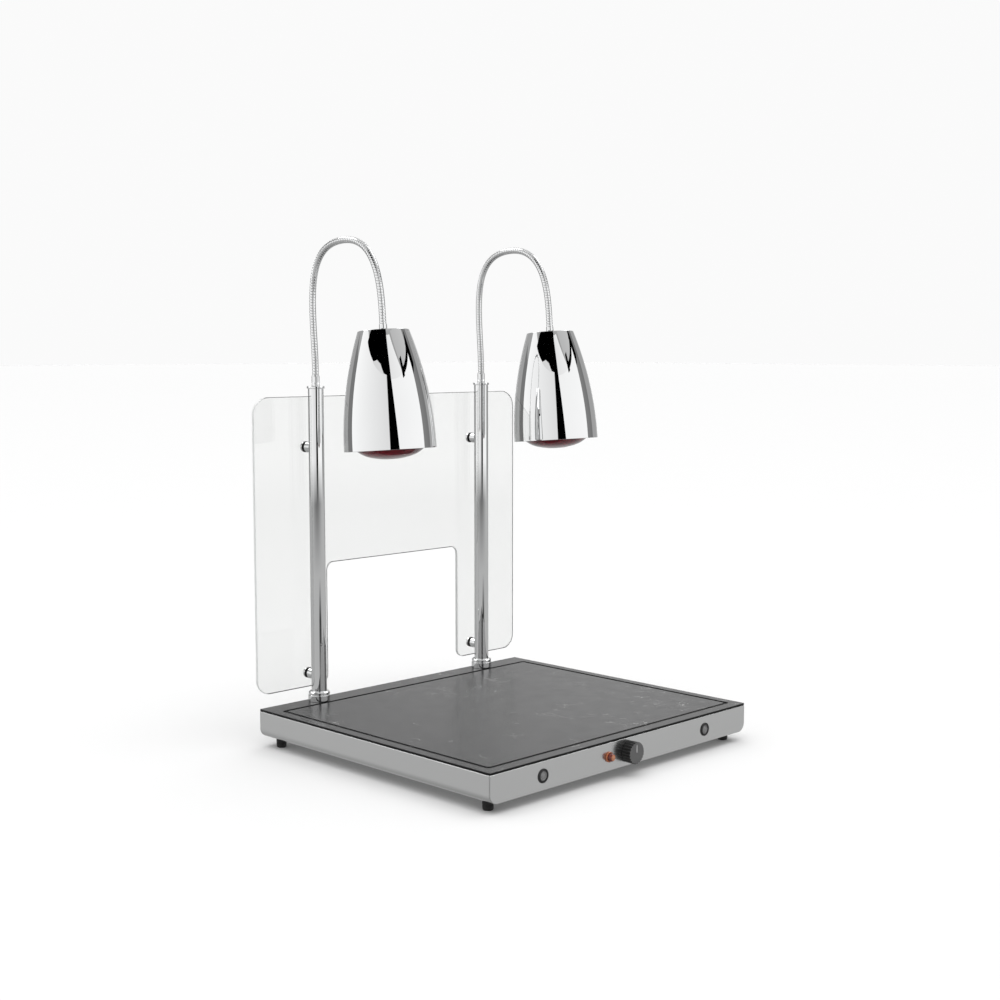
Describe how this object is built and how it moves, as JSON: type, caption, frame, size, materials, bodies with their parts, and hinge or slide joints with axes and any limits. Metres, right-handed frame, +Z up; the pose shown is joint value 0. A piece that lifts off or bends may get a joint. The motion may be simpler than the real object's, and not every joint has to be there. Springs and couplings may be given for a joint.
{
  "type": "heat lamp warmer",
  "caption": "Free-standing carving station: heated black stone plate in a low steel base, infrared lamps on goosenecks over it, clear guard with a pass-through behind.",
  "frame": {"origin": "on the floor, under the middle of the object's footprint", "axes": "+Z up, +Y to the back, where the guard and the posts are, +X to the right as the user faces the front panel"},
  "size_m": [0.65, 0.622, 0.903],
  "materials": {
    "brushed_stainless": "fine brushed, satin",
    "spindle_steel": "turned steel",
    "polished_chrome": "mirror polished plating",
    "black_stone": "honed black stone with fine pale veins",
    "dark_silicone": "matt silicone joint",
    "insulation": "needled glass-fibre blanket",
    "mica_heater": "mica sheet",
    "grey_plastic": "satin moulded",
    "black_plastic": "satin moulded",
    "black_rubber": "matt moulded rubber",
    "amber_plastic": "gloss moulded",
    "red_lens": "clear tinted gloss",
    "clear_acrylic": "clear cast sheet with polished edges",
    "holder_ceramic": "white glaze",
    "cap_brass": "plated thread",
    "ruby_glass": "gloss ruby glass"
  },
  "bodies": {
    "base": {"housing_shell": "brushed_stainless", "front_panel": "brushed_stainless", "rear_panel": "brushed_stainless", "top_border": "black_stone", "heated_plate": "black_stone", "joint_seal": "dark_silicone", "support_tray": "brushed_stainless", "insulation_board": "insulation", "heater_mat": "mica_heater", "terminal_block": "grey_plastic", "mains_inlet": "black_plastic", "foot_front_left": "black_rubber", "foot_front_right": "black_rubber", "foot_rear_left": "black_rubber", "foot_rear_right": "black_rubber", "thermostat_body": "grey_plastic", "pilot_body": "amber_plastic", "pilot_lens": "red_lens", "guard_panel": "clear_acrylic", "left_switch_bezel": "black_plastic", "left_switch_body": "black_plastic", "left_post": "polished_chrome", "left_post_collar": "polished_chrome", "left_post_cap": "polished_chrome", "left_lower_guard_spacer": "polished_chrome", "left_upper_guard_spacer": "polished_chrome", "left_lower_guard_screw": "polished_chrome", "left_upper_guard_screw": "polished_chrome", "right_switch_bezel": "black_plastic", "right_switch_body": "black_plastic", "right_post": "polished_chrome", "right_post_collar": "polished_chrome", "right_post_cap": "polished_chrome", "right_lower_guard_spacer": "polished_chrome", "right_upper_guard_spacer": "polished_chrome", "right_lower_guard_screw": "polished_chrome", "right_upper_guard_screw": "polished_chrome"},
    "thermostat_dial": {"thermostat_knob": "black_plastic", "thermostat_spindle": "spindle_steel"},
    "left_button": {"left_switch_button": "grey_plastic"},
    "left_arm_lower": {"left_lower_ferrule": "polished_chrome", "left_neck_lower": "polished_chrome"},
    "left_arm_middle": {"left_neck_middle": "polished_chrome"},
    "left_arm_upper": {"left_neck_upper": "polished_chrome"},
    "left_lamp": {"left_upper_ferrule": "polished_chrome", "left_shade": "polished_chrome", "left_lampholder": "holder_ceramic", "left_bulb_cap": "cap_brass", "left_bulb": "ruby_glass"},
    "right_button": {"right_switch_button": "grey_plastic"},
    "right_arm_lower": {"right_lower_ferrule": "polished_chrome", "right_neck_lower": "polished_chrome"},
    "right_arm_middle": {"right_neck_middle": "polished_chrome"},
    "right_arm_upper": {"right_neck_upper": "polished_chrome"},
    "right_lamp": {"right_upper_ferrule": "polished_chrome", "right_shade": "polished_chrome", "right_lampholder": "holder_ceramic", "right_bulb_cap": "cap_brass", "right_bulb": "ruby_glass"}
  },
  "joints": [
    {"name": "thermostat_turn", "type": "hinge", "parent": "base", "child": "thermostat_dial", "pos_m": [0, -0.3, 0.0405], "axis": [0, 1, 0], "range_deg": [0, 270]},
    {"name": "left_button_press", "type": "slide", "parent": "base", "child": "left_button", "axis": [0, 1, 0], "range_m": [0, 0.003], "stiffness_N_per_m": 600},
    {"name": "left_arm_swivel", "type": "hinge", "parent": "base", "child": "left_arm_lower", "pos_m": [-0.2073, 0.271, 0.65], "axis": [0, 0, -1], "range_deg": [-35, 60]},
    {"name": "left_low_bend", "type": "hinge", "parent": "left_arm_lower", "child": "left_arm_middle", "pos_m": [-0.2073, 0.27404, 0.72602], "axis": [1, 0, 0], "range_deg": [-15, 20]},
    {"name": "left_crook_bend", "type": "hinge", "parent": "left_arm_middle", "child": "left_arm_upper", "pos_m": [-0.2073, 0.183, 0.897], "axis": [-1, 0, 0], "range_deg": [-8, 25]},
    {"name": "left_lamp_tilt", "type": "hinge", "parent": "left_arm_upper", "child": "left_lamp", "pos_m": [-0.2073, 0.08691, 0.77518], "axis": [-1, 0, 0], "range_deg": [-20, 30]},
    {"name": "right_button_press", "type": "slide", "parent": "base", "child": "right_button", "axis": [0, 1, 0], "range_m": [0, 0.003], "stiffness_N_per_m": 600},
    {"name": "right_arm_swivel", "type": "hinge", "parent": "base", "child": "right_arm_lower", "pos_m": [0.2073, 0.271, 0.65], "axis": [0, 0, 1], "range_deg": [-35, 60]},
    {"name": "right_low_bend", "type": "hinge", "parent": "right_arm_lower", "child": "right_arm_middle", "pos_m": [0.2073, 0.27404, 0.72602], "axis": [1, 0, 0], "range_deg": [-15, 20]},
    {"name": "right_crook_bend", "type": "hinge", "parent": "right_arm_middle", "child": "right_arm_upper", "pos_m": [0.2073, 0.183, 0.897], "axis": [-1, 0, 0], "range_deg": [-8, 25]},
    {"name": "right_lamp_tilt", "type": "hinge", "parent": "right_arm_upper", "child": "right_lamp", "pos_m": [0.2073, 0.08691, 0.77518], "axis": [-1, 0, 0], "range_deg": [-20, 30]}
  ]
}
